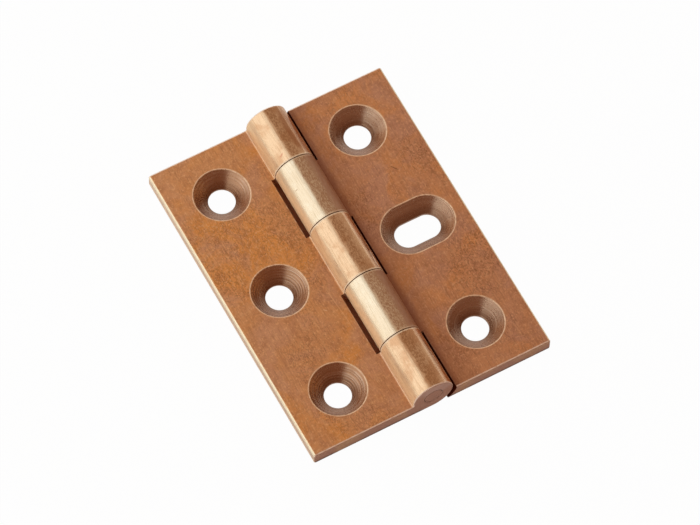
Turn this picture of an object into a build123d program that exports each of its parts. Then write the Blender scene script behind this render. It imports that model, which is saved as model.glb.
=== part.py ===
from build123d import *
import math
import os

# Solid drawn brass butt hinge, lying open flat with its countersunk side up.
# The back faces of both leaves lie in the plane Z = 0, and the hinge axis runs parallel to Y above
# the origin. The plain leaf reaches towards -X and the slotted leaf towards +X. Knuckles are counted
# from the far end, +Y. All sizes are in millimetres.

# Leaves
length = 50.0                  # along the hinge axis
leaf_reach = 19.0              # from the hinge axis to the free edge of a leaf
leaf_thickness = 2.4

# Barrel and pin
barrel_diameter = 6.3          # touches the plane of the back faces
pin_diameter = 3.0
pin_running_clearance = 0.04   # radial, in the knuckles of the slotted leaf
pin_end_chamfer = 0.12

# Knuckles
far_knuckle_length = 9.0       # knuckle 1
middle_knuckle_length = 10.4   # knuckles 2, 3 and 4; knuckle 5 takes what is left
knuckle_gap = 0.12             # joint between two neighbouring knuckles
knuckle_relief = 0.7           # radial room that a leaf leaves round the other leaf's knuckles
relief_foot_height = 0.18      # upright foot of that hollow, above the back face

# Screw holes, all countersunk from the top face
hole_diameter = 4.0
countersink_diameter = 8.3     # of the round holes, at the top face
slot_countersink_width = 8.0   # the slot's is sunk a little less deep
countersink_angle = 90.0
hole_line_offset = 11.1        # from the hinge axis to each leaf's line of holes
hole_pitch = 17.4              # between neighbouring holes of one leaf
slot_stretch = 3.1             # straight part of the slot, which runs across its leaf
slot_shift = 0.3               # how much further out the slot sits than its neighbours

# Broken edges
long_edge_round = 0.35         # free long edges of the leaves, as they are drawn
end_edge_break = 0.2           # flat round the sawn ends of the leaves and of the barrel
rim_round = 0.2                # rims of the countersinks
knuckle_edge_break = 0.1       # flat on the knuckles' edges at the joints between them
root_round = 0.3               # hollow where a knuckle's flank meets the top face

# Worked out from the sizes above
barrel_radius = barrel_diameter / 2
axis_height = barrel_radius
pin_radius = pin_diameter / 2
running_bore_radius = pin_radius + pin_running_clearance
relief_radius = barrel_radius + knuckle_relief
relief_foot = math.sqrt(relief_radius**2 - (axis_height - relief_foot_height) ** 2)
slot_offset = hole_line_offset + slot_shift
half_length = length / 2
cut_margin = 1.0               # how far a cutter passes the faces that it cuts
same_place = 0.001             # two measures closer than this are the same

# Y positions of the barrel's ends and of the joints between its knuckles, from the far end
first_joint = half_length - far_knuckle_length
knuckle_bounds = [half_length]
knuckle_bounds += [first_joint - n * middle_knuckle_length for n in range(4)]
knuckle_bounds += [-half_length]


def bar_on_axis(radius, near, far):
    """Round bar on the hinge axis between two Y positions."""
    bar = Cylinder(radius, far - near, rotation=(90, 0, 0))
    return Pos(0, (near + far) / 2, axis_height) * bar


def drawn_section(side):
    """Plate and barrel in one section, as the leaf is drawn. side is -1 or +1, along X."""
    plate = Pos(side * leaf_reach / 2, leaf_thickness / 2) * Rectangle(leaf_reach, leaf_thickness)
    corners = plate.vertices().sort_by(Axis.X)
    plate = fillet(corners[:2] if side < 0 else corners[-2:], long_edge_round)
    section = plate + Pos(0, axis_height) * Circle(barrel_radius)
    root_x = side * math.sqrt(barrel_radius**2 - (axis_height - leaf_thickness) ** 2)
    root = section.vertices().sort_by_distance((root_x, leaf_thickness))[0]
    return fillet(root, root_round)


def drawn_leaf(side):
    """A leaf cut to length, with a whole barrel and with its ends broken."""
    leaf = extrude(Plane.XZ.offset(-half_length) * drawn_section(side), length)
    ends = leaf.faces().filter_by(Axis.Y)
    return chamfer(ShapeList([edge for end in ends for edge in end.edges()]), end_edge_break)


def knuckle_space(number):
    """What a leaf loses where the other leaf's knuckle of this number turns in it."""
    far, near = knuckle_bounds[number - 1], knuckle_bounds[number]
    far += cut_margin if far == half_length else knuckle_gap / 2
    near -= cut_margin if near == -half_length else knuckle_gap / 2
    foot = Box(2 * relief_foot, far - near, axis_height + cut_margin,
               align=(Align.CENTER, Align.CENTER, Align.MAX))
    return bar_on_axis(relief_radius, near, far) + Pos(0, (near + far) / 2, axis_height) * foot


def screw_seat(x, y, width, stretch=0.0):
    """Cutter for a hole whose countersink is width wide, or for a slot that is stretched along X."""
    slope = math.tan(math.radians(countersink_angle / 2))
    hole_radius = hole_diameter / 2
    rim_radius = width / 2
    land = leaf_thickness - (rim_radius - hole_radius) / slope
    flare = rim_radius + cut_margin * slope
    top = leaf_thickness + cut_margin
    flank = [(hole_radius, -cut_margin), (hole_radius, land), (flare, top)]
    half_profile = make_face(Polyline((0, -cut_margin), *flank, (0, top), close=True))
    end = revolve(Plane.XZ * half_profile, Axis.Z)
    if stretch == 0:
        return Pos(x, y) * end
    other_flank = [(-across, height) for across, height in reversed(flank)]
    profile = make_face(Polyline(*flank, *other_flank, close=True))
    middle = extrude(Plane.YZ.offset(-stretch / 2) * profile, stretch)
    return Pos(x, y) * (Pos(-stretch / 2) * end + middle + Pos(stretch / 2) * end)


def round_rims(leaf):
    """Rounds the rims of the countersinks, which are the openings in the leaf's top face."""
    top = leaf.faces().filter_by(Axis.Z).filter_by_position(
        Axis.Z, leaf_thickness - same_place, leaf_thickness + same_place)
    rims = ShapeList([edge for face in top for wire in face.inner_wires() for edge in wire.edges()])
    return fillet(rims, rim_round)


def break_knuckle_edges(leaf):
    """Breaks the knuckles' outer edges at the joints, but not at the ends of the barrel."""
    def at_a_joint(edge):
        on_barrel = abs(edge.radius - barrel_radius) < same_place
        return on_barrel and abs(edge.arc_center.Y) < half_length - cut_margin
    edges = leaf.edges().filter_by(GeomType.CIRCLE).filter_by(at_a_joint)
    return chamfer(edges, knuckle_edge_break)


def finished_leaf(side, first_space, bore_radius, slotted):
    """A drawn leaf, cut for every other knuckle from first_space on, for the pin and for screws."""
    leaf = drawn_leaf(side)
    for number in range(first_space, len(knuckle_bounds), 2):
        leaf -= knuckle_space(number)
    leaf -= bar_on_axis(bore_radius, -half_length - cut_margin, half_length + cut_margin)
    for row in (1, 0, -1):
        if slotted and row == 0:
            leaf -= screw_seat(side * slot_offset, 0, slot_countersink_width, slot_stretch)
        else:
            leaf -= screw_seat(side * hole_line_offset, row * hole_pitch, countersink_diameter)
    return break_knuckle_edges(round_rims(leaf))


def hinge_pin():
    """Plain pin, flush with both ends of the barrel."""
    pin = bar_on_axis(pin_radius, -half_length, half_length)
    return chamfer(pin.edges().filter_by(GeomType.CIRCLE), pin_end_chamfer)


nodes = {
    "plain_leaf": finished_leaf(-1, 2, pin_radius, slotted=False),
    "slotted_leaf": finished_leaf(1, 1, running_bore_radius, slotted=True),
    "hinge_pin": hinge_pin(),
}

os.makedirs("parts", exist_ok=True)
for name, shape in nodes.items():
    export_step(shape, f"parts/{name}.step")
    print(name, "volume", round(shape.volume, 1), "mm3, faces", len(shape.faces()))
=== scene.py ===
"""Aged brass butt hinge: smooth leaves and pin, worn finishes, and a plain studio.

All sizes in the classes are millimetres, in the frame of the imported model: the hinge axis runs along Y
above the origin, the backs of the leaves lie in the plane Z = 0, the plain leaf reaches towards -X and
the slotted leaf towards +X. Meshes are written in metres.
"""

import logging
import math
from dataclasses import dataclass, field
from enum import Enum
from functools import reduce

import bmesh
import bpy
import numpy as np
from mathutils import Matrix, Vector


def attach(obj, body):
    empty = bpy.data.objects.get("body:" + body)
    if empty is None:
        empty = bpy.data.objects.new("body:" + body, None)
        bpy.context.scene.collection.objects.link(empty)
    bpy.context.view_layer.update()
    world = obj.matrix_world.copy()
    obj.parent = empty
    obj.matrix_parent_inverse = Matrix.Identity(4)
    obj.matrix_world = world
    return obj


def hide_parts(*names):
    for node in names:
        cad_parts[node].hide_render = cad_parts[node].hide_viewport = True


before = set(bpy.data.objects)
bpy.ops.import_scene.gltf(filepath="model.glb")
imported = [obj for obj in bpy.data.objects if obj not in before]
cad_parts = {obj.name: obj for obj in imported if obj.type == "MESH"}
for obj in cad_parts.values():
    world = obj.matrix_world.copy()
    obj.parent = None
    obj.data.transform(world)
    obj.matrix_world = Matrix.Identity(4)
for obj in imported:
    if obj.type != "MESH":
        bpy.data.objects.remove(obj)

MM = 0.001
CUT_MARGIN = 1.0  # millimetres by which a cutter passes the faces that it cuts
SAME_POINT = 1e-8  # metres within which two points of a mesh are one
HOLE_LINE = 11.1  # millimetres from the hinge axis to a leaf's line of holes
HOLE_PITCH = 17.4  # millimetres between neighbouring holes of a leaf
SLOT_SHIFT = 0.3  # millimetres by which the slot sits further out than the holes
SLOT_RIM_RADIUS = 4.0  # millimetres, a little less than a round seat's
Point = tuple[float, float, float]
Span = tuple[float, float]  # where a zone begins and where it is full
Colour = tuple[float, float, float, float]
WHITE: Colour = (1.0, 1.0, 1.0, 1.0)

log = logging.getLogger("hinge")


def tone(red: int, green: int, blue: int) -> Colour:
    """Gives the linear colour of a tone named by its display values.

    Args:
        red: red, 0 to 255.
        green: green, 0 to 255.
        blue: blue, 0 to 255.

    Returns:
        The colour in scene-linear values, with an alpha of 1.
    """
    shares = np.array([red, green, blue]) / 255.0
    linear = np.where(shares <= 0.04045, shares / 12.92, ((shares + 0.055) / 1.055) ** 2.4)
    return (float(linear[0]), float(linear[1]), float(linear[2]), 1.0)


# Shapes


@dataclass(frozen=True)
class Outline:
    """A closed plane outline with the way out of the material at each of its points."""

    points: np.ndarray
    outward: np.ndarray

    def inset(self, depth: np.ndarray) -> np.ndarray:
        """Moves the outline into the material.

        The point at depth d is the outline's point less d times its outward direction, so round corners
        shrink and hollow ones grow about their own centres.

        Args:
            depth: one depth for each copy of the outline.

        Returns:
            Points of shape (copies, points, 2).
        """
        return self.points[None, :, :] - depth[:, None, None] * self.outward[None, :, :]


def arc(centre: tuple[float, float], radius: float, start: float, end: float, steps: int,
        hollow: bool = False) -> Outline:
    """Gives an arc of an outline: centre plus radius times (cos a, sin a), a going from start to end.

    Args:
        centre: the arc's centre.
        radius: its radius.
        start: first angle in degrees.
        end: last angle in degrees.
        steps: number of chords.
        hollow: True where the material lies outside the circle.

    Returns:
        The arc's points and outward directions.
    """
    angle = np.radians(np.linspace(start, end, steps + 1))
    ray = np.stack([np.cos(angle), np.sin(angle)], axis=1)
    return Outline(np.array(centre) + radius * ray, -ray if hollow else ray)


def joined(parts: list[Outline]) -> Outline:
    """Joins arcs into one closed outline; the straight sides run from each arc to the next."""
    return Outline(np.concatenate([part.points for part in parts]),
                   np.concatenate([part.outward for part in parts]))


def tube_faces(rows: int, columns: int) -> list[tuple[int, ...]]:
    """Faces of a grid whose columns close on themselves, with a lid on its first and last row.

    The quad at row r and column c joins points (r, c), (r, c + 1), (r + 1, c + 1) and (r + 1, c).

    Args:
        rows: number of rows of points.
        columns: number of points in a row.

    Returns:
        The quads followed by the two lids.
    """
    index = np.arange(rows * columns).reshape(rows, columns)
    beside = np.roll(index, -1, axis=1)
    quads = np.stack([index[:-1], beside[:-1], beside[1:], index[1:]], axis=-1).reshape(-1, 4)
    lids = [tuple(index[0][::-1].tolist()), tuple(index[-1].tolist())]
    return [tuple(quad) for quad in quads.tolist()] + lids


def linked(name: str, data: bpy.types.ID) -> bpy.types.Object:
    """Makes an object of some data and links it to the scene."""
    made = bpy.data.objects.new(name, data)
    bpy.context.scene.collection.objects.link(made)
    return made


def grid(across: np.ndarray, along: np.ndarray, height: np.ndarray) -> np.ndarray:
    """Stacks X, Y and Z, each a row, a column or a whole grid, into one grid of points."""
    return np.stack(np.broadcast_arrays(across, along, height), axis=-1)


def solid_object(name: str, shells: list[np.ndarray]) -> bpy.types.Object:
    """Makes one object of closed shells, each a grid of points in millimetres.

    Args:
        name: the object's name.
        shells: grids of shape (rows, columns, 3), closed along their columns.

    Returns:
        The linked object, its doubles merged and its faces turned outwards.
    """
    points: list[np.ndarray] = []
    faces: list[tuple[int, ...]] = []
    first = 0
    for shell in shells:
        rows, columns = shell.shape[:2]
        points.append(shell.reshape(-1, 3) * MM)
        faces += [tuple(corner + first for corner in face) for face in tube_faces(rows, columns)]
        first += rows * columns
    mesh = bpy.data.meshes.new(name)
    mesh.from_pydata(np.concatenate(points).tolist(), [], faces)
    shape = bmesh.new()
    shape.from_mesh(mesh)
    bmesh.ops.remove_doubles(shape, verts=shape.verts, dist=SAME_POINT)
    bmesh.ops.dissolve_degenerate(shape, edges=shape.edges, dist=SAME_POINT)
    bmesh.ops.recalc_face_normals(shape, faces=shape.faces)
    shape.to_mesh(mesh)
    shape.free()
    return linked(name, mesh)


def cut_away(blank: bpy.types.Object, cutters: list[bpy.types.Object]) -> None:
    """Cuts each cutter out of the blank, in order, and removes the cutters.

    Args:
        blank: the object that is cut.
        cutters: what it loses.
    """
    for cutter in cutters:
        cut = blank.modifiers.new(cutter.name, "BOOLEAN")
        cut.operation = "DIFFERENCE"
        cut.solver = "EXACT"
        cut.object = cutter
    settle(blank)
    for cutter in cutters:
        mesh = cutter.data
        bpy.data.objects.remove(cutter)
        bpy.data.meshes.remove(mesh)


def settle(piece: bpy.types.Object) -> None:
    """Gives an object the mesh that its modifiers make, and drops the modifiers.

    Args:
        piece: the object.
    """
    graph = bpy.context.evaluated_depsgraph_get()
    mesh = bpy.data.meshes.new_from_object(piece.evaluated_get(graph), preserve_all_data_layers=True,
                                           depsgraph=graph)
    old = piece.data
    piece.modifiers.clear()
    piece.data = mesh
    bpy.data.meshes.remove(old)
    mesh.name = piece.name


def smooth(piece: bpy.types.Object, crease: float = 28.0) -> None:
    """Shades a piece smooth.

    Large flat faces keep their own direction, so that only the rounded edges between them shade.

    Args:
        piece: the piece.
        crease: edges sharper than this many degrees stay sharp.
    """
    piece.data.shade_smooth()
    piece.data.set_sharp_from_angle(angle=math.radians(crease))
    weighted = piece.modifiers.new("weighted", "WEIGHTED_NORMAL")
    weighted.keep_sharp = True
    weighted.weight = 100
    settle(piece)


class SeatKind(Enum):
    """The two kinds of screw seat in this hinge."""

    ROUND = "round"
    SLOT = "slot"


@dataclass(frozen=True)
class ScrewSeat:
    """A countersunk screw hole or slot in a leaf."""

    x: float
    y: float
    kind: SeatKind = SeatKind.ROUND
    hole_radius: float = 2.0
    rim_radius: float = 4.15
    rim_round: float = 0.2
    slot_stretch: float = 3.1
    rim_stop: float = 93.0
    rim_steps: int = 6
    flare: float = 0.1
    steps: int = 96

    @property
    def stretch(self) -> float:
        """Straight length of the seat across the leaf."""
        return self.slot_stretch if self.kind is SeatKind.SLOT else 0.0

    def cutter_grid(self, thickness: float) -> np.ndarray:
        """Points of the seat's cutter.

        The half profile goes up the hole, out along the 45 degree cone and over the rounded rim, whose
        arc stops just short of level, at rim_stop degrees. Turned about the seat's axis it gives
        (r cos a, r sin a, z), and the half with cos a above 0 is moved by half the stretch to one side,
        the rest to the other side.

        Args:
            thickness: the leaf's thickness.

        Returns:
            Grid of points, one row for each point of the half profile.
        """
        land = thickness - (self.rim_radius - self.hole_radius)
        outer = self.rim_radius + self.rim_round * math.tan(math.radians(22.5))
        middle = (outer, thickness - self.rim_round)
        rim = arc(middle, self.rim_round, 135.0, self.rim_stop, self.rim_steps)
        out = np.array([[outer + self.flare, thickness + CUT_MARGIN]])
        hole = np.array([[self.hole_radius, -CUT_MARGIN], [self.hole_radius, land]])
        profile = np.concatenate([hole, rim.points, out])
        half = np.linspace(-90.0, 90.0, self.steps // 2 + 1)
        angle = np.radians(np.concatenate([half, half + 180.0]))
        shift = np.repeat([self.stretch / 2, -self.stretch / 2], len(half))
        radius, height = profile[:, :1], profile[:, 1:]
        across = self.x + radius * np.cos(angle) + shift
        along = self.y + radius * np.sin(angle)
        return grid(across, along, height)


@dataclass
class Barrel:
    """The sizes that both leaves and the pin share."""

    radius: float = 3.15
    half_length: float = 25.0
    pin_radius: float = 1.5
    running_clearance: float = 0.04
    joints: tuple[float, ...] = (16.0, 5.6, -4.8, -15.2)
    joint_gap: float = 0.12
    relief: float = 0.7
    foot_height: float = 0.18
    joint_edge: float = 0.1
    steps: int = 96

    @property
    def hollow_radius(self) -> float:
        """Radius of the hollow in which the other leaf's knuckle turns."""
        return self.radius + self.relief

    def bounds(self, number: int) -> tuple[float, float]:
        """Far and near Y of a knuckle, counted from 1 at the far end."""
        marks = (self.half_length, *self.joints, -self.half_length)
        return marks[number - 1], marks[number]

    def round_bar(self, radius: float | np.ndarray, stations: np.ndarray) -> np.ndarray:
        """Points of a round bar on the hinge axis: radius times (cos a, sin a) round the axis.

        Args:
            radius: one radius, or one for each station.
            stations: Y positions.

        Returns:
            Grid of points, one row for each station.
        """
        angle = np.linspace(0.0, 2 * np.pi, self.steps, endpoint=False)
        size = np.broadcast_to(radius, stations.shape)[:, None]
        return grid(size * np.cos(angle), stations[:, None], self.radius + size * np.sin(angle))

    def relief_grid(self, number: int) -> np.ndarray:
        """Points of what a leaf loses round the other leaf's knuckle of this number.

        Its section is a circle about the hinge axis, wider than the barrel by the relief, cut off below
        by two upright sides that run down past the leaf's back.

        Args:
            number: the knuckle, counted from 1 at the far end.

        Returns:
            Grid of points, one row for each end of the space.
        """
        far, near = self.bounds(number)
        far += CUT_MARGIN if number == 1 else self.joint_gap / 2
        near -= CUT_MARGIN if number == len(self.joints) + 1 else self.joint_gap / 2
        radius = self.hollow_radius
        foot = math.sqrt(radius**2 - (self.radius - self.foot_height) ** 2)
        low = math.degrees(math.acos(foot / radius))
        ring = arc((0.0, self.radius), radius, -low, 180.0 + low, self.steps).points
        section = np.concatenate([ring, [[-foot, -CUT_MARGIN], [foot, -CUT_MARGIN]]])
        return grid(section[:, 0], np.array([[near], [far]]), section[:, 1])


@dataclass
class DrawnLeaf:
    """One leaf: a drawn section with plate and barrel, cut out for the other leaf and for its screws.

    A point of the mesh counts as lying on the barrel when it is less than chord_error away from it.
    """

    name: str
    side: int
    lost_knuckles: tuple[int, ...]
    bore_radius: float
    seats: list[ScrewSeat]
    barrel: Barrel = field(default_factory=Barrel)
    reach: float = 19.0
    thickness: float = 2.4
    long_edge_round: float = 0.35
    end_edge_round: float = 0.2
    root_round: float = 0.3
    chord_error: float = 0.004
    edge_steps: int = 8
    root_steps: int = 6
    end_steps: int = 5
    barrel_steps: int = 110

    def section(self) -> Outline:
        """The drawn section in X and Z.

        Going round: the back, the two rounded long edges, the top face, the hollow root where it meets
        the barrel, and the barrel's circle down to where it touches the plane of the back.

        Returns:
            The closed outline, on the leaf's own side.
        """
        centre = self.barrel.radius
        bend = self.long_edge_round
        edge = self.reach - bend
        over = self.thickness + self.root_round
        root_x = math.sqrt((self.barrel.radius + self.root_round) ** 2 - (over - centre) ** 2)
        turn = math.degrees(math.atan2(over - centre, root_x))
        parts = [
            arc((edge, bend), bend, -90.0, 0.0, self.edge_steps),
            arc((edge, self.thickness - bend), bend, 0.0, 90.0, self.edge_steps),
            arc((root_x, over), self.root_round, -90.0, -180.0 + turn, self.root_steps, hollow=True),
            arc((0.0, centre), self.barrel.radius, turn, 270.0, self.barrel_steps),
        ]
        whole = joined(parts)
        mirror = np.array([self.side, 1])
        return Outline(whole.points * mirror, whole.outward * mirror)

    def blank_grid(self) -> np.ndarray:
        """Points of the leaf before it is cut.

        The section is carried along Y. Over the last end_edge_round of each end it shrinks by
        r (1 - cos a) while Y grows by r sin a, a going from 0 to a right angle, which rounds the end.

        Returns:
            Grid of points, one row for each station along Y.
        """
        angle = np.radians(np.linspace(0.0, 90.0, self.end_steps + 1))
        depth = self.end_edge_round * (1 - np.cos(angle))
        along = self.barrel.half_length - self.end_edge_round * (1 - np.sin(angle))
        depths = np.concatenate([depth[::-1], depth])
        stations = np.concatenate([-along[::-1], along])
        flat = self.section().inset(depths)
        return grid(flat[..., 0], stations[:, None], flat[..., 1])

    def at_joint(self, vertex: bmesh.types.BMVert) -> bool:
        """Tells whether a point of the mesh lies on the barrel's surface at the edge of a joint.

        Args:
            vertex: the point, in metres.

        Returns:
            True if it does.
        """
        across, along, height = np.array(vertex.co) / MM
        barrel = self.barrel
        off_barrel = abs(math.hypot(across, height - barrel.radius) - barrel.radius)
        off_joint = min(abs(abs(along - joint) - barrel.joint_gap / 2) for joint in barrel.joints)
        return off_barrel < self.chord_error and off_joint < self.chord_error / 2

    def soften_joints(self, piece: bpy.types.Object) -> None:
        """Rounds the knuckles' circular edges at the joints between them.

        Args:
            piece: the leaf's object.
        """
        shape = bmesh.new()
        shape.from_mesh(piece.data)
        marked = {vertex for vertex in shape.verts if self.at_joint(vertex)}
        edges = [edge for edge in shape.edges if marked.issuperset(edge.verts)
                 and abs(edge.verts[0].co.y - edge.verts[1].co.y) < self.chord_error * MM / 4]
        bmesh.ops.bevel(shape, geom=edges, offset=self.barrel.joint_edge * MM, segments=3, profile=0.5,
                        affect="EDGES", clamp_overlap=True)
        shape.to_mesh(piece.data)
        shape.free()

    def build(self) -> bpy.types.Object:
        """Makes the leaf's object.

        Returns:
            The leaf, smooth-shaded, with nothing left to apply.
        """
        leaf = solid_object(self.name, [self.blank_grid()])
        spaces = [self.barrel.relief_grid(number) for number in self.lost_knuckles]
        reliefs = solid_object("reliefs", spaces)
        reach = self.barrel.half_length + CUT_MARGIN
        bar = self.barrel.round_bar(self.bore_radius, np.array([-reach, reach]))
        bore = solid_object("bore", [bar])
        holes = solid_object("holes", [seat.cutter_grid(self.thickness) for seat in self.seats])
        cut_away(leaf, [reliefs, bore, holes])
        self.soften_joints(leaf)
        smooth(leaf)
        return leaf


@dataclass
class HingePin:
    """The plain pin, flush with both ends of the barrel."""

    name: str = "pin"
    end_flat: float = 0.12
    barrel: Barrel = field(default_factory=Barrel)

    def build(self) -> bpy.types.Object:
        """Makes the pin: a bar whose last bit tapers to a flat at each end.

        Returns:
            The pin, smooth-shaded.
        """
        half = self.barrel.half_length
        radius = self.barrel.pin_radius
        stations = np.array([-half, self.end_flat - half, half - self.end_flat, half])
        radii = np.array([radius - self.end_flat, radius, radius, radius - self.end_flat])
        pin = solid_object(self.name, [self.barrel.round_bar(radii, stations)])
        smooth(pin)
        return pin


# Shader arithmetic


class Signal:
    """A shader socket that takes part in Python arithmetic; each operation adds a Math node."""

    def __init__(self, sheet: "Sheet", socket: bpy.types.NodeSocket) -> None:
        """Wraps an output socket of the sheet's tree."""
        self.sheet = sheet
        self.socket = socket

    def math(self, operation: str, *others: "Value") -> "Signal":
        """Adds a Math node with this signal as its first input.

        Args:
            operation: the Math node's operation.
            others: its further inputs.

        Returns:
            The node's result.
        """
        return self.sheet.node("Math", {"operation": operation}, [self, *others])

    def __add__(self, other: "Value") -> "Signal":
        """Sum."""
        return self.math("ADD", other)

    __radd__ = __add__

    def __sub__(self, other: "Value") -> "Signal":
        """Difference."""
        return self.math("SUBTRACT", other)

    def __rsub__(self, other: "Value") -> "Signal":
        """Difference, taken from the other value."""
        return self.sheet.node("Math", {"operation": "SUBTRACT"}, [other, self])

    def __mul__(self, other: "Value") -> "Signal":
        """Product."""
        return self.math("MULTIPLY", other)

    __rmul__ = __mul__

    def size(self) -> "Signal":
        """Absolute value."""
        return self.math("ABSOLUTE")

    def rise(self, low: float, high: float) -> "Signal":
        """Goes smoothly from 0 to 1.

        Args:
            low: the value that gives 0.
            high: the value that gives 1, which may be the smaller of the two.

        Returns:
            The share.
        """
        span = (low, high, 0.0, 1.0) if low < high else (high, low, 1.0, 0.0)
        return self.sheet.node("MapRange", {"interpolation_type": "SMOOTHSTEP"}, [self, *span])

    def either(self, other: "Value") -> "Signal":
        """The larger of two signals."""
        return self.math("MAXIMUM", other)

    def both(self, other: "Value") -> "Signal":
        """The smaller of two signals."""
        return self.math("MINIMUM", other)


Value = float | Signal


class Sheet:
    """The node tree of one material, with the few kinds of node that the finishes are made of."""

    def __init__(self, name: str, world: bpy.types.World | None = None) -> None:
        """Starts with an empty tree.

        Args:
            name: name of the new material.
            world: the world whose tree is wanted instead of a new material's.
        """
        self.material = bpy.data.materials.new(name) if world is None else None
        owner = self.material if world is None else world
        owner.use_nodes = True
        self.tree = owner.node_tree
        self.tree.nodes.clear()
        self.out_kind = "OutputMaterial" if world is None else "OutputWorld"

    def node(self, kind: str, settings: dict[str, object] | None = None,
             inputs: list[object] | dict[int | str, object] | None = None,
             output: int | str = 0) -> Signal:
        """Adds a node of any kind.

        Args:
            kind: the node's type, without the ShaderNode at its start.
            settings: its settings, which are set first.
            inputs: values or signals for its sockets, in order or by name.
            output: which of its outputs is wanted.

        Returns:
            That output.
        """
        made = self.tree.nodes.new("ShaderNode" + kind)
        for key, value in (settings or {}).items():
            setattr(made, key, value)
        pairs = inputs.items() if isinstance(inputs, dict) else enumerate(inputs or [])
        for key, value in pairs:
            if isinstance(value, Signal):
                self.tree.links.new(value.socket, made.inputs[key])
            elif value is not None:
                made.inputs[key].default_value = value
        return Signal(self, made.outputs[output])

    def place(self) -> tuple[Signal, Signal, Signal, Signal]:
        """Reads where the shaded point lies.

        Returns:
            The point in millimetres as a vector, and its X, Y and Z.
        """
        raw = self.node("TexCoord", output="Object")
        scaled = self.node("VectorMath", {"operation": "SCALE"},
                           {"Vector": raw, "Scale": 1 / MM})
        split = [self.node("SeparateXYZ", None, [scaled], axis) for axis in ("X", "Y", "Z")]
        return scaled, split[0], split[1], split[2]

    def noise(self, point: Signal, stretch: Point = (1.0, 1.0, 1.0), shift: float = 0.0,
              scale: float = 1.0, detail: float = 3.0, rough: float = 0.6,
              distort: float = 0.0) -> Signal:
        """Makes a smooth noise, with values round one half.

        Args:
            point: where it is read.
            stretch: scale along each axis; a small one draws the noise out.
            shift: how far off it is read, so that no two noises are alike.
            scale: features for each millimetre.
            detail: number of finer layers.
            rough: how strong the finer layers are.
            distort: how much it is warped.

        Returns:
            The noise.
        """
        scaled = self.node("VectorMath", {"operation": "MULTIPLY"}, [point, stretch])
        moved = self.node("VectorMath", {"operation": "ADD"},
                          [scaled, (shift, shift * 0.7, -shift)])
        return self.node("TexNoise", {"noise_dimensions": "3D"},
                         {"Vector": moved, "Scale": scale, "Detail": detail, "Roughness": rough,
                          "Distortion": distort})

    def blend(self, factor: Value, first: "Signal | Colour", second: "Signal | Colour") -> Signal:
        """Mixes two colours.

        Args:
            factor: share of the second colour, from 0 to 1.
            first: the first colour.
            second: the second colour.

        Returns:
            The mixture.
        """
        settings = {"data_type": "RGBA", "clamp_factor": True}
        return self.node("Mix", settings, {0: factor, 6: first, 7: second}, 2)

    def coat(self, colour: Signal, *coats: "tuple[Signal, Signal | Colour]") -> Signal:
        """Lays coats over a colour, one after the other.

        Args:
            colour: the colour under them.
            coats: how much of each covers what is under it, and its colour.

        Returns:
            The colour that shows.
        """
        for share, cover in coats:
            colour = self.blend(share, colour, cover)
        return colour

    def finish(self, colour: Signal, rough: Value, metal: Value, height: Signal, relief: float,
               dull: tuple[Signal, Colour] | None = None) -> bpy.types.Material:
        """Ends the tree with a metal shader.

        Args:
            colour: base colour.
            rough: roughness.
            metal: metallic share.
            height: bump height from 0 to 1.
            relief: depth in millimetres that a height of 1 stands for.
            dull: where the surface is matt instead, and in which colour.

        Returns:
            The material.
        """
        bump = self.node("Bump", None,
                         {"Strength": 1.0, "Distance": relief * MM, "Height": height})
        sockets = {"Base Color": colour, "Roughness": rough, "Metallic": metal, "Normal": bump}
        shader = self.node("BsdfPrincipled", None, sockets)
        if dull is not None:
            matt = self.node("BsdfDiffuse", None, {"Color": dull[1]})
            shader = self.node("MixShader", None, [dull[0], shader, matt])
        self.node_out(shader)
        return self.material

    def node_out(self, shader: Signal) -> None:
        """Joins a shader to the tree's output."""
        out = self.tree.nodes.new("ShaderNode" + self.out_kind)
        self.tree.links.new(shader.socket, out.inputs["Surface"])


# Finishes


@dataclass(frozen=True)
class Survey:
    """Where a point of a leaf's surface lies, as signals in millimetres, with the turn in degrees."""

    point: Signal
    x: Signal
    y: Signal
    z: Signal
    from_axis: Signal
    turn: Signal
    from_joint: Signal
    from_side: Signal
    from_end: Signal
    lost: Signal
    flutter: Signal

    @classmethod
    def of(cls, sheet: Sheet, leaf: DrawnLeaf) -> "Survey":
        """Measures the leaf.

        The turn is the angle about the hinge axis, 0 at the top of the barrel and growing towards +X.
        Lost is 1 beside the other leaf's knuckles. The flutter is a noise that frays the worn edges.

        Args:
            sheet: the material's nodes.
            leaf: the leaf, whose sizes place the zones.

        Returns:
            The survey.
        """
        point, x, y, z = sheet.place()
        barrel = leaf.barrel
        up = z - barrel.radius
        rows = [barrel.bounds(number) for number in leaf.lost_knuckles]
        beside = [(y - (far + near) / 2).size().rise((far - near) / 2 + 0.04, (far - near) / 2)
                  for far, near in rows]
        return cls(point, x, y, z,
                   from_axis=(x * x + up * up).math("SQRT"),
                   turn=x.math("ARCTAN2", up) * (180.0 / math.pi),
                   from_joint=reduce(Signal.both, [(y - joint).size() for joint in barrel.joints]),
                   from_side=leaf.reach - x.size(),
                   from_end=barrel.half_length - y.size(),
                   lost=reduce(Signal.either, beside),
                   flutter=sheet.noise(point, (1.0, 0.8, 1.0), shift=61.0, scale=1.4))

    def on_end(self) -> Signal:
        """1 on the sawn ends."""
        return self.from_end.rise(0.14, 0.05)


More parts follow.
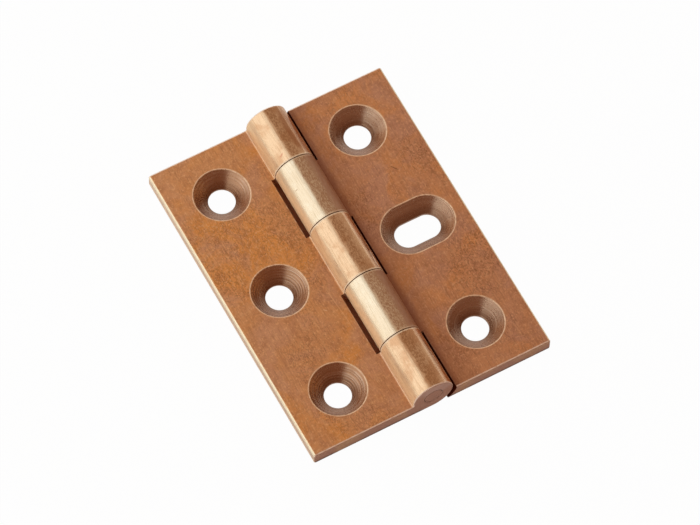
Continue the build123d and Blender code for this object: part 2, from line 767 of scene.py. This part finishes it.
@dataclass(frozen=True)
class Mark:
    """A single scratch or ding: an oval of another colour with a soft rim."""

    across: float
    along: float
    width: float
    length: float
    slant: float
    colour: Colour
    share: float

    def lay(self, sheet: Sheet, colour: Signal, across: Signal, along: Signal) -> Signal:
        """Lays the mark over a colour.

        With u and v the distances from its middle along and across its own length, it fills the oval
        (2 u / length)^2 + (2 v / width)^2 < 1.

        Args:
            sheet: the material's nodes.
            colour: the colour so far.
            across: X on a flat face, or the way round the barrel from its top.
            along: Y.

        Returns:
            The colour with the mark.
        """
        cosine, sine = math.cos(math.radians(self.slant)), math.sin(math.radians(self.slant))
        aside, ahead = across - self.across, along - self.along
        run = (aside * sine + ahead * cosine) * (2.0 / self.length)
        off = (aside * cosine - ahead * sine) * (2.0 / self.width)
        inside = (run * run + off * off).rise(1.0, 0.25)
        return sheet.blend(inside * self.share, colour, self.colour)


@dataclass(frozen=True)
class Skin:
    """Colours of a leaf's darkened face, with a painted shade beside the barrel, and where in the
    pattern it lies.
    """

    body: Colour
    golden: Colour
    rosy: Colour
    haze: Colour
    fleck: Colour
    glint: Colour
    # painted shade beside the barrel: its colour, and how strongly it is laid
    root_shade: Colour
    root_shade_share: float
    shift: float
    marks: tuple[Mark, ...] = ()

    def paint(self, sheet: Sheet, at: Survey) -> tuple[Signal, Signal]:
        """Lays clouds, haze, flecks, veins, brush lines and single marks over the body colour, and a
        painted shade on the top face beside the barrel.

        Args:
            sheet: the material's nodes.
            at: the survey of the leaf.

        Returns:
            The colour and the height of the fine relief.
        """
        point, shift = at.point, self.shift
        clouds = sheet.noise(point, (1.0, 0.8, 1.0), shift, scale=0.1, rough=0.5, distort=0.7)
        patches = sheet.noise(point, shift=shift + 31.0, scale=0.16, distort=0.6)
        smoke = sheet.noise(point, (1.0, 0.7, 1.0), shift + 57.0, detail=4.0, rough=0.7, distort=0.3)
        spots = sheet.noise(point, (4.6, 2.6, 4.6), shift + 11.0, detail=2.0, rough=0.7)
        sparks = sheet.noise(point, (4.2, 2.4, 4.2), shift + 83.0, detail=1.0, rough=0.5)
        strokes = sheet.noise(point, (5.5, 0.4, 5.5), shift)
        cross = sheet.noise(point, (0.5, 5.0, 5.0), shift + 7.0, detail=2.0)
        zones = sheet.noise(point, shift=shift + 97.0, scale=0.11, detail=2.0, rough=0.5, distort=0.4)
        crinkle = sheet.noise(point, (1.0, 0.8, 1.0), shift + 41.0, scale=1.3, distort=0.6)

        crowd = zones.rise(0.46, 0.66) * 0.55 + 0.12
        veins = (crinkle - 0.5).size().rise(0.045, 0.01)
        # painted shade: the top face darkens towards the barrel
        near_barrel = at.from_axis.rise(8.5, 4.5) * 0.4 + at.from_axis.rise(5.0, 3.6) * 0.6
        colour = sheet.coat(
            sheet.blend(clouds.rise(0.4, 0.62), self.body, self.golden),
            (patches.rise(0.42, 0.64) * 0.9, self.rosy),
            (smoke.rise(0.44, 0.68) * 0.5, self.haze),
            (spots.rise(0.57, 0.68) * crowd * 0.9, self.fleck),
            (veins * (zones.rise(0.46, 0.64) * 0.34 + 0.13), self.fleck),
            (sparks.rise(0.55, 0.7) * 0.6, self.glint),
            (strokes.rise(0.54, 0.72) * 0.3, self.fleck),
            (strokes.rise(0.46, 0.3) * 0.34, self.glint),
            (cross.rise(0.46, 0.32) * zones.rise(0.6, 0.4) * 0.26, self.glint),
            (near_barrel * at.z.rise(2.0, 2.3) * self.root_shade_share, self.root_shade),
        )
        for mark in self.marks:
            colour = mark.lay(sheet, colour, at.x, at.y)
        return colour, strokes * 0.6 - spots.rise(0.56, 0.7) * 0.35


@dataclass(frozen=True)
class Rubbed:
    """Barrel surface that hands have rubbed bright on its crown, and that stays dull on its flanks; the
    flank towards the softbox is painted light and the far flank painted shade.

    Starts, ends, fades and halves are degrees round the hinge axis from the top of the barrel. The
    painted highlight, a pale line, runs along the barrel and turns by highlight_slant degrees for each
    millimetre.
    """

    pale: Colour
    dull: Colour
    streak: Colour
    flank: Colour
    shaded_flank: Colour
    bright: Colour
    # colour of the painted highlight, a pale line along the barrel
    line: Colour = tone(232, 190, 154)
    highlight_share: float = 0.0
    tarnish_and_shade_end: float = 40.0
    tarnish_and_shade_start: Span = (-10.0, -3.0)
    tarnish_and_shade_fade: float = 34.0
    crown_start: Span = (-74.0, -34.0)
    crown_end: float = 84.0
    crown_fade: float = 30.0
    highlight_turn: float = 44.0
    highlight_slant: float = 0.12
    highlight_half: Span = (11.0, 5.0)
    rough: float = 0.17
    flank_rough: float = 0.44
    marks: tuple[Mark, ...] = ()

    def paint(self, sheet: Sheet, at: Survey, radius: float) -> tuple[Signal, Signal, Signal]:
        """Paints the barrel.

        Args:
            sheet: the material's nodes.
            at: the survey of the leaf.
            radius: the barrel's radius.

        Returns:
            The colour, how much of the crown's polish is left, and the height of the fine relief.
        """
        lines = sheet.noise(at.point, (7.0, 0.4, 7.0), shift=3.0)
        grain = sheet.noise(at.point, (6.5, 2.6, 6.5), shift=17.0, rough=0.65)
        dents = sheet.noise(at.point, (1.3, 0.45, 1.3), shift=29.0, rough=0.55)
        wear = sheet.noise(at.point, (0.9, 0.9, 0.9), shift=43.0, scale=0.3)
        frayed = at.turn + (dents - 0.5) * 24.0
        crown = (frayed.rise(*self.crown_start)
                 * frayed.rise(self.crown_end, self.crown_end - self.crown_fade))
        # painted light and shade: the flank towards the softbox (-X) takes the pale flank colour, the
        # far flank a darker colour
        flank = sheet.blend(at.turn.rise(-20.0, 20.0), self.flank, self.shaded_flank)
        # streaky tarnish and painted shade: darkens the barrel from just past its top across the side
        # turned away from the softbox
        tarnish_and_shade = ((at.turn + (dents - 0.5) * 26.0).rise(*self.tarnish_and_shade_start)
                   * at.turn.rise(self.tarnish_and_shade_end, self.tarnish_and_shade_end - self.tarnish_and_shade_fade))
        # painted highlight: a pale line along the barrel, where the crown also keeps less polish
        off_line = at.turn + (lines - 0.5) * 12.0 - at.y * self.highlight_slant - self.highlight_turn
        painted_highlight = off_line.size().rise(*self.highlight_half) * self.highlight_share
        colour = sheet.coat(
            sheet.blend(crown, flank, sheet.blend(wear.rise(0.42, 0.58), self.pale, self.bright)),
            (lines.rise(0.46, 0.72) * 0.6, self.dull),
            (grain.rise(0.56, 0.7) * 0.45, self.dull),
            (tarnish_and_shade * (grain.rise(0.38, 0.6) * 0.6 + 0.28), self.streak),
            (painted_highlight, self.line),
        )
        for mark in self.marks:
            colour = mark.lay(sheet, colour, at.turn * (radius * math.pi / 180.0), at.y)
        return colour, crown * (1.0 - painted_highlight * 0.6), dents * 0.8 + lines * 0.32 + grain * 0.18


@dataclass(frozen=True)
class TurnedSeat:
    """Countersink cone with the rings that its cutter left, and a rim worn thin and painted bright as a
    highlight; its near side is painted in shade, and it is darker by the hole.

    Spans and radii are millimetres. The ring relief is a height in units of the leaf's relief.
    """

    cone: Colour
    ring: Colour = tone(232, 208, 184)
    shaded_near_side: Colour = tone(184, 138, 104)
    rim: Colour = tone(255, 222, 184)
    deep_tone: Colour = tone(132, 94, 70)
    rim_middle: float = 0.03
    rim_half: Span = (0.13, 0.05)
    deep_tone_radius: Span = (3.3, 2.1)
    shaded_near_span: Span = (0.3, 2.6)
    rings_per_mm: float = 6.5
    ring_relief: float = 4.0

    def masks(self, sheet: Sheet, at: Survey, seats: list[ScrewSeat]) -> list[Signal]:
        """Finds where the seats are.

        Args:
            sheet: the material's nodes.
            at: the survey of the leaf.
            seats: the leaf's seats.

        Returns:
            Masks of the seats, their rims, their near sides painted in shade, the darker tone by the
            holes, and the height of the rings.
        """
        totals: list[Signal] = []
        for seat in seats:
            aside = ((at.x - seat.x).size() - seat.stretch / 2).either(0.0)
            off = at.y - seat.y
            away = (aside * aside + off * off).math("SQRT")
            inside = away.rise(seat.rim_radius + 0.04, seat.rim_radius - 0.02) * at.z.rise(0.03, 0.1)
            rim = (away - (seat.rim_radius + self.rim_middle)).size().rise(*self.rim_half)
            track = sheet.node("CombineXYZ", None, [away, seat.y, seat.x])
            ring = sheet.noise(track, scale=self.rings_per_mm, detail=2.0) * inside
            # darker towards the hole
            deep_tone = away.rise(*self.deep_tone_radius) * inside
            # painted shade: the near side of the cone is warmer and darker, for the shaded table that it
            # mirrors
            shaded_near_side = (seat.y - at.y).rise(*self.shaded_near_span) * inside
            found = [inside, rim, shaded_near_side, deep_tone, ring]
            totals = [old + new for old, new in zip(totals, found)] if totals else found
        return totals


@dataclass(frozen=True)
class LeafFinish:
    """Everything that a leaf's surface shows, zone by zone, with its bands in millimetres."""

    skin: Skin
    barrel: Rubbed
    # colour of the hollows' walls, painted dark as shade
    hollow: Colour
    seat: TurnedSeat
    # worn top of the long edge, painted cream as a highlight
    worn: Colour = tone(255, 242, 208)
    side: Colour = tone(240, 210, 176)
    side_shade: Colour = tone(212, 178, 146)
    end: Colour = tone(184, 138, 113)
    end_olive: Colour = tone(202, 160, 116)
    end_bottom_shade: Colour = tone(122, 84, 62)
    # colour of the worn rims of the sawn ends, painted as a highlight
    end_rim: Colour = tone(255, 230, 206)
    # pale colour of the painted highlight along the root; the lips of the hollows use it too
    root: Colour = tone(242, 212, 178)
    joint_highlight_and_wear: Colour = tone(255, 232, 198)
    joint_dirt: Colour = tone(196, 140, 98)
    lip_share: float = 0.6
    joint_rub_and_highlight: float = 0.85
    barrel_turn: Span = (116.0, 98.0)
    joint_band: Span = (0.36, 0.2)
    joint_line: Span = (0.085, 0.065)
    side_band: Span = (0.12, 0.03)
    side_worn: Span = (0.3, 0.16)
    rough: float = 0.4
    seat_rough: float = 0.28
    relief: float = 0.012

    def paint_edges(self, sheet: Sheet, leaf: DrawnLeaf, at: Survey, colour: Signal) -> Signal:
        """Paints the free long side, the sawn ends and the hollows round the other leaf's knuckles.

        Args:
            sheet: the material's nodes.
            leaf: the leaf.
            at: the survey of the leaf.
            colour: the colour so far.

        Returns:
            The colour with the edges.
        """
        # painted light and shade on the free long side: pale as if lit from the left, with a darker band
        # at mid height that fades towards the far end
        streak = (at.z - 1.25).size().rise(0.75, 0.2) * (0.85 - at.y * 0.012)
        side = sheet.blend(streak, self.side, self.side_shade)
        # the worn top of the long edge, painted as a cream highlight that the flutter frays
        upper = at.z.rise(1.7, 2.05)
        frayed = at.flutter.rise(0.25, 0.6) * 0.35 + 0.65
        worn = at.from_side.rise(*self.side_worn) * upper * frayed
        olive = sheet.noise(at.point, shift=71.0, scale=0.2, detail=2.0, distort=0.4)
        away = at.from_axis.rise(4.0, 5.0)
        # painted shade: the sawn ends of the plate darken towards their bottom, by the table
        end = sheet.blend(at.z.rise(0.75, 0.3) * at.from_axis.rise(3.2, 3.3), self.end, self.end_bottom_shade)
        end = sheet.blend(olive.rise(0.42, 0.68) * away * 0.8, end, self.end_olive)
        lip = (at.from_axis - leaf.barrel.hollow_radius).rise(0.22, 0.04)
        lip = lip * at.lost * at.z.rise(2.3, 2.38) * at.flutter.rise(0.4, 0.7)
        return sheet.coat(
            colour,
            (at.from_side.rise(*self.side_band), side),
            (worn, self.worn),
            (at.on_end(), end),
            (self.end_rims(at), self.end_rim),
            (lip * self.lip_share, self.root),
            (self.wall(leaf, at), self.hollow),
        )

    def end_rims(self, at: Survey) -> Signal:
        """How far the upper rims of the sawn ends have worn bright, painted as a highlight."""
        return (at.from_end.rise(0.02, 0.07) * at.from_end.rise(0.24, 0.18) * at.z.rise(1.6, 2.2)
                * (at.flutter.rise(0.3, 0.55) * 0.45 + 0.55))

    def wall(self, leaf: DrawnLeaf, at: Survey) -> Signal:
        """1 on the walls of the hollows in which the other leaf's knuckles turn."""
        outer = leaf.barrel.hollow_radius
        return (at.from_axis.rise(outer + 0.08, outer + 0.03) * at.lost
                * at.from_axis.rise(leaf.barrel.radius + 0.2, leaf.barrel.radius + 0.3)
                * at.z.rise(leaf.thickness - 0.03, leaf.thickness - 0.1))

    def dress(self, leaf: DrawnLeaf) -> bpy.types.Material:
        """Makes the material of a leaf.

        Args:
            leaf: the leaf, whose sizes place the zones.

        Returns:
            The material.
        """
        sheet = Sheet(leaf.name + "_brass")
        at = Survey.of(sheet, leaf)
        barrel = leaf.barrel
        colour, height = self.skin.paint(sheet, at)
        barrel_colour, crown, barrel_height = self.barrel.paint(sheet, at, barrel.radius)

        on_barrel = (at.from_axis.rise(barrel.radius + 0.1, barrel.radius + 0.02)
                     * at.turn.size().rise(*self.barrel_turn))
        # painted highlight: a thin pale line where the top face meets the barrel
        at_root = ((at.from_axis - (barrel.radius + 0.12)).size().rise(0.12, 0.03)
                   * at.z.rise(leaf.thickness - 0.05, leaf.thickness + 0.04))
        # worn edges beside the knuckle joints, painted pale as a highlight, with less metal
        by_joint = on_barrel * at.from_joint.rise(*self.joint_band)
        joint_rub_and_highlight = by_joint * at.flutter.rise(0.25, 0.5) * self.joint_rub_and_highlight
        in_joint = on_barrel * at.from_joint.rise(*self.joint_line)

        seats, rims, shaded_near_sides, deep_tone, rings = self.seat.masks(sheet, at, leaf.seats)
        arcs = sheet.noise(at.point, shift=23.0, scale=0.32, detail=2.0, rough=0.5)
        shown = (arcs.rise(0.42, 0.56) * 0.75 + 0.3) * (1.0 - shaded_near_sides * 0.6)
        seat_colour = sheet.coat(
            sheet.blend(shaded_near_sides, self.seat.cone, self.seat.shaded_near_side),
            (rings.rise(0.47, 0.6) * shown * 0.34, self.seat.ring),
            (rings.rise(0.46, 0.36) * shown * 0.2, self.seat.deep_tone),
            (deep_tone * 0.55, self.seat.deep_tone),
        )
        # worn rims of the seats, painted bright and less metallic as a highlight
        rim_wear_and_highlight = rims * at.z.rise(leaf.thickness - 0.3, leaf.thickness - 0.1)
        colour = sheet.coat(
            colour,
            (on_barrel, barrel_colour),
            (at_root * 0.5, self.root),
            (joint_rub_and_highlight, self.joint_highlight_and_wear),
            (in_joint, self.joint_dirt),
            (seats, seat_colour),
            (rim_wear_and_highlight * (at.flutter.rise(0.3, 0.6) * 0.5 + 0.45), self.seat.rim),
        )
        colour = self.paint_edges(sheet, leaf, at, colour)

        polish, dull = on_barrel * crown, at.on_end()
        rough = (self.rough + (at.flutter - 0.5) * 0.2 - seats * (self.rough - self.seat_rough)
                 + on_barrel * (self.barrel.flank_rough - self.rough)
                 - polish * (self.barrel.flank_rough - self.barrel.rough) + dull * 0.2)
        metal = ((0.75 - on_barrel * 0.4 + polish * 0.6 + seats * 0.2)
                 * (1.0 - dull * 0.7) * (1.0 - rim_wear_and_highlight * 0.5)
                 * (1.0 - joint_rub_and_highlight * (1.0 - in_joint)) * (1.0 - self.end_rims(at)))
        raised = (height * (1.0 - on_barrel) * (1.0 - seats) + barrel_height * on_barrel
                  + rings * self.seat.ring_relief)
        # painted shade: the hollows' walls are matt and dark, darkest in the slotted leaf's narrow gaps
        walls = self.wall(leaf, at)
        return sheet.finish(colour, rough, metal, raised, self.relief, (walls, self.hollow))


@dataclass(frozen=True)
class PinFinish:
    """The dressed ends of the pin, and its sides, which nobody sees."""

    face: Colour = tone(182, 134, 108)
    edge: Colour = tone(72, 48, 36)
    rough: float = 0.58
    metal: float = 0.25
    relief: float = 0.01

    def dress(self, pin: HingePin) -> bpy.types.Material:
        """Makes the pin's material.

        Args:
            pin: the pin, whose radius places the dark rim.

        Returns:
            The material.
        """
        sheet = Sheet(pin.name + "_brass")
        point, x, y, z = sheet.place()
        up = z - pin.barrel.radius
        from_axis = (x * x + up * up).math("SQRT")
        grain = sheet.noise(point, (5.0, 1.0, 2.0), shift=5.0)
        rim = from_axis.rise(pin.barrel.pin_radius - 0.16, pin.barrel.pin_radius - 0.06)
        colour = sheet.blend(rim * 0.9, self.face, self.edge)
        colour = sheet.blend(grain.rise(0.5, 0.7) * 0.25, colour, self.edge)
        return sheet.finish(colour, self.rough, self.metal, grain, self.relief)


# Studio


@dataclass(frozen=True)
class CameraStand:
    """Where the photograph was taken from, and how far the camera was rolled."""

    azimuth: float = -30.766
    elevation: float = 63.486
    roll: float = 2.345
    target: tuple[float, float] = (0.502, 0.250)
    distance: float = 707.86
    lens: float = 254.84
    sensor: float = 36.0

    def build(self) -> None:
        """Makes the scene's camera.

        The way back from the target is (sin a cos e, -cos a cos e, sin e), a being the azimuth and e
        the elevation.
        """
        turn, climb, roll = np.radians([self.azimuth, self.elevation, self.roll])
        back = np.array([np.sin(turn) * np.cos(climb), -np.cos(turn) * np.cos(climb), np.sin(climb)])
        right = np.cross(-back, [0.0, 0.0, 1.0])
        right /= np.linalg.norm(right)
        above = np.cross(right, -back)
        matrix = np.eye(4)
        matrix[:3, 0] = np.cos(roll) * right + np.sin(roll) * above
        matrix[:3, 1] = np.cos(roll) * above - np.sin(roll) * right
        matrix[:3, 2] = back
        matrix[:3, 3] = (np.array([*self.target, 0.0]) + self.distance * back) * MM
        data = bpy.data.cameras.new("camera")
        data.lens = self.lens
        data.sensor_width = self.sensor
        data.clip_start, data.clip_end = 0.01, 10.0
        camera = linked("camera", data)
        camera.matrix_world = Matrix(matrix.tolist())
        bpy.context.scene.camera = camera


@dataclass(frozen=True)
class Softbox:
    """A rectangular lamp of even brightness, aimed at the hinge."""

    name: str = "window_softbox"
    place: Point = (-620.0, 500.0, 520.0)
    width: float = 1500.0
    height: float = 1000.0
    glow: float = 0.2

    def build(self) -> None:
        """Makes the lamp; its power is pi times its area times the brightness it shows."""
        data = bpy.data.lights.new(self.name, "AREA")
        data.shape = "RECTANGLE"
        data.size, data.size_y = self.width * MM, self.height * MM
        data.energy = math.pi * data.size * data.size_y * self.glow
        lamp = linked(self.name, data)
        spot = Vector(self.place) * MM
        aim = (-spot).to_track_quat("-Z", "Y").to_matrix().to_4x4()
        lamp.matrix_world = Matrix.Translation(spot) @ aim
        lamp.visible_camera = False


@dataclass(frozen=True)
class BrownCloth:
    """A brown cloth round the front and right of the hinge, which its polished parts mirror.

    Its upper edge lies in a plane through the hinge, whose normal points into the cloth's side, and its
    lower edge runs level, a little above the table. Its glow is painted: lit at the back, and darker at
    the front as painted shade.
    """

    normal: Point = (0.70, -0.62, 0.354)
    low: float = 4.5
    radius: float = 550.0
    lit: Colour = (0.55, 0.41, 0.32, 1.0)
    shaded: Colour = (0.29, 0.15, 0.10, 1.0)
    lit_from: float = 140.0
    shaded_from: float = -220.0
    steps: int = 32

    def build(self) -> None:
        """Makes the cloth: radius times the unit vector of (1 - w) upper edge + w lower edge."""
        out = np.array(self.normal) / np.linalg.norm(self.normal)
        level = np.cross([0.0, 0.0, 1.0], out)
        level /= np.linalg.norm(level)
        above = np.cross(out, level)
        low = math.radians(self.low)
        first = math.asin(math.sin(low) / above[2])
        sweep = np.linspace(first, math.pi - first, self.steps + 1)[:, None]
        upper = np.cos(sweep) * level + np.sin(sweep) * above
        facing = math.atan2(out[1], out[0])
        half = math.acos(-out[2] * math.tan(low) / math.hypot(out[0], out[1]))
        angle = np.linspace(facing + half, facing - half, self.steps + 1)
        lower = np.stack([math.cos(low) * np.cos(angle), math.cos(low) * np.sin(angle),
                          np.full(angle.shape, math.sin(low))], axis=1)
        share = np.linspace(0.0, 1.0, self.steps + 1)[None, :, None]
        way = (1 - share) * upper[:, None, :] + share * lower[:, None, :]
        points = self.radius * MM * way / np.linalg.norm(way, axis=2, keepdims=True)
        index = np.arange(points.shape[0] * points.shape[1]).reshape(points.shape[:2])
        quads = np.stack([index[:-1, :-1], index[1:, :-1], index[1:, 1:], index[:-1, 1:]], axis=-1)
        mesh = bpy.data.meshes.new("brown_cloth")
        mesh.from_pydata(points.reshape(-1, 3).tolist(), [], quads.reshape(-1, 4).tolist())
        cloth = linked("brown_cloth", mesh)
        cloth.visible_camera = False
        mesh.materials.append(self.paint())

    def paint(self) -> bpy.types.Material:
        """Makes the cloth's material, which glows by itself so that it needs no lamp of its own.

        Returns:
            The material.
        """
        sheet = Sheet("brown_cloth")
        y = sheet.place()[2]
        glows = [sheet.node("Emission", None, {"Color": colour, "Strength": 1.0})
                 for colour in (self.lit, self.shaded)]
        # painted shade: the glow goes from the lit colour at the back to the shaded colour at the front
        shade = y.rise(self.lit_from, self.shaded_from)
        sheet.node_out(sheet.node("MixShader", None, [shade, *glows]))
        return sheet.material


@dataclass(frozen=True)
class Studio:
    """A white table and an even white surround, with a softbox and a cloth."""

    table_half: float = 3000.0
    table_drop: float = 0.02
    seen_white: float = 0.975
    mirrored_white: float = 0.45

    def build_surround(self) -> None:
        """Makes the world, white all round."""
        world = bpy.data.worlds.new("surround")
        bpy.context.scene.world = world
        sheet = Sheet("surround", world)
        sheet.node_out(sheet.node("Background", None, {"Color": WHITE, "Strength": 1.0}))

    def build_table(self) -> None:
        """Makes the white table top, which keeps a faint shadow of the hinge.

        The camera sees it nearly all as plain white, reflections and clear things see it about half as
        plain white, and otherwise it is a matt white sheet, in the shade under the hinge.
        """
        half = self.table_half * MM
        mesh = bpy.data.meshes.new("table_top")
        corners = [(-half, -half, 0.0), (half, -half, 0.0), (half, half, 0.0), (-half, half, 0.0)]
        mesh.from_pydata(corners, [], [(0, 1, 2, 3)])
        table = linked("table_top", mesh)
        table.location.z = -self.table_drop * MM
        sheet = Sheet("table_white")
        seen, glossy, through = (sheet.node("LightPath", output=name)
                                 for name in ("Is Camera Ray", "Is Glossy Ray", "Is Transmission Ray"))
        matt = sheet.node("BsdfDiffuse", None, {"Color": tone(246, 246, 246)})
        glow = sheet.node("Emission", None, {"Color": WHITE, "Strength": 1.0})
        share = (seen * self.seen_white).either(glossy.either(through) * self.mirrored_white)
        sheet.node_out(sheet.node("MixShader", None, [share, matt, glow]))
        mesh.materials.append(sheet.material)

    def build(self) -> None:
        """Makes the whole studio."""
        bpy.context.scene.view_settings.view_transform = "Standard"
        self.build_surround()
        self.build_table()
        Softbox().build()
        BrownCloth().build()


# Main


# Single marks, at the places where the photograph shows them.
PLAIN_MARKS = (
    Mark(-4.87, -7.11, 0.12, 8.93, -4.0, tone(250, 206, 156), 0.4),
    Mark(-5.11, -3.85, 0.10, 5.30, -2.0, tone(250, 206, 156), 0.3),
    Mark(-6.83, -5.75, 0.16, 0.81, -44.9, tone(252, 220, 176), 0.75),
)
PLAIN_BARREL_MARKS = (
    Mark(-1.50, 17.36, 0.34, 0.90, 62.9, tone(206, 142, 112), 0.7),
    Mark(2.05, 20.60, 2.70, 10.50, 0.0, tone(156, 96, 58), 0.6),
    Mark(2.45, -20.20, 2.10, 9.00, 0.0, tone(236, 202, 164), 0.4),
)
SLOTTED_MARKS = (
    Mark(12.81, 9.55, 0.14, 1.60, -35.3, tone(112, 64, 40), 0.75),
    Mark(15.33, 8.21, 0.12, 1.29, -17.3, tone(118, 70, 46), 0.45),
    Mark(10.59, 8.32, 0.12, 1.76, 4.8, tone(244, 196, 152), 0.4),
    Mark(18.21, 9.76, 0.20, 0.24, 0.0, tone(96, 56, 36), 0.7),
    Mark(16.89, 9.17, 0.20, 0.24, 0.0, tone(96, 56, 36), 0.6),
)
SLOTTED_BARREL_MARKS = (
    Mark(-2.32, 11.60, 0.14, 0.70, 90.0, tone(150, 108, 78), 0.6),
)

PLAIN_FINISH = LeafFinish(
    skin=Skin(body=tone(222, 160, 108), golden=tone(234, 162, 90), rosy=tone(218, 162, 124),
              haze=tone(186, 124, 82), fleck=tone(146, 94, 58), glint=tone(244, 194, 140),
              root_shade=tone(150, 98, 62), root_shade_share=0.15, shift=0.0,
              marks=PLAIN_MARKS),
    barrel=Rubbed(pale=tone(216, 172, 132), dull=tone(198, 154, 114), streak=tone(170, 122, 82),
                  flank=tone(255, 222, 176), shaded_flank=tone(214, 166, 126), bright=tone(236, 202, 164),
                  highlight_share=0.6, marks=PLAIN_BARREL_MARKS),
    seat=TurnedSeat(cone=tone(182, 137, 104)),
    hollow=tone(184, 130, 100),
)
SLOTTED_FINISH = LeafFinish(
    skin=Skin(body=tone(210, 150, 108), golden=tone(224, 156, 100), rosy=tone(206, 152, 122),
              haze=tone(178, 122, 88), fleck=tone(134, 88, 60), glint=tone(234, 182, 136),
              root_shade=tone(126, 72, 46), root_shade_share=0.85, shift=140.0, marks=SLOTTED_MARKS),
    barrel=Rubbed(pale=tone(236, 217, 187), dull=tone(214, 190, 156), streak=tone(176, 132, 98),
                  flank=tone(255, 224, 178), shaded_flank=tone(172, 112, 76), bright=tone(240, 224, 196),
                  tarnish_and_shade_end=110.0, crown_end=40.0, marks=SLOTTED_BARREL_MARKS),
    seat=TurnedSeat(cone=tone(192, 156, 128)),
    hollow=tone(74, 27, 6),
    lip_share=0.1,
    joint_rub_and_highlight=0.4,
)


def clear_start_objects() -> None:
    """Removes what Blender's start file holds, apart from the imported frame."""
    for name in ("Cube", "Light", "Camera"):
        if name in bpy.data.objects:
            bpy.data.objects.remove(bpy.data.objects[name])


def hang(piece: bpy.types.Object, material: bpy.types.Material, body: str, node: str) -> None:
    """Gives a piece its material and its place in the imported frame.

    Args:
        piece: the piece.
        material: its only material.
        body: the body that it rides on.
        node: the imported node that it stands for.
    """
    piece.data.materials.clear()
    piece.data.materials.append(material)
    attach(piece, body)
    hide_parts(node)
    log.info("%s stands for %s: %d points", piece.name, node, len(piece.data.vertices))


def main() -> None:
    """Builds the hinge, its finishes and the studio."""
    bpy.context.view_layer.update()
    clear_start_objects()
    barrel = Barrel()
    plain = DrawnLeaf("leaf_plain", -1, (2, 4), barrel.pin_radius,
                      [ScrewSeat(-HOLE_LINE, row * HOLE_PITCH) for row in (1, 0, -1)])
    slot = ScrewSeat(HOLE_LINE + SLOT_SHIFT, 0.0, SeatKind.SLOT, rim_radius=SLOT_RIM_RADIUS)
    slotted = DrawnLeaf("leaf_slotted", 1, (1, 3, 5), barrel.pin_radius + barrel.running_clearance,
                        [ScrewSeat(HOLE_LINE, HOLE_PITCH), slot, ScrewSeat(HOLE_LINE, -HOLE_PITCH)])
    pin = HingePin()
    plain_piece, slotted_piece, pin_piece = plain.build(), slotted.build(), pin.build()
    hang(plain_piece, PLAIN_FINISH.dress(plain), "plain_leaf", "plain_leaf")
    hang(slotted_piece, SLOTTED_FINISH.dress(slotted), "slotted_leaf", "slotted_leaf")
    hang(pin_piece, PinFinish().dress(pin), "plain_leaf", "hinge_pin")
    Studio().build()
    CameraStand().build()


if __name__ == "__main__":
    logging.basicConfig(level=logging.INFO, format="%(message)s")
    main()
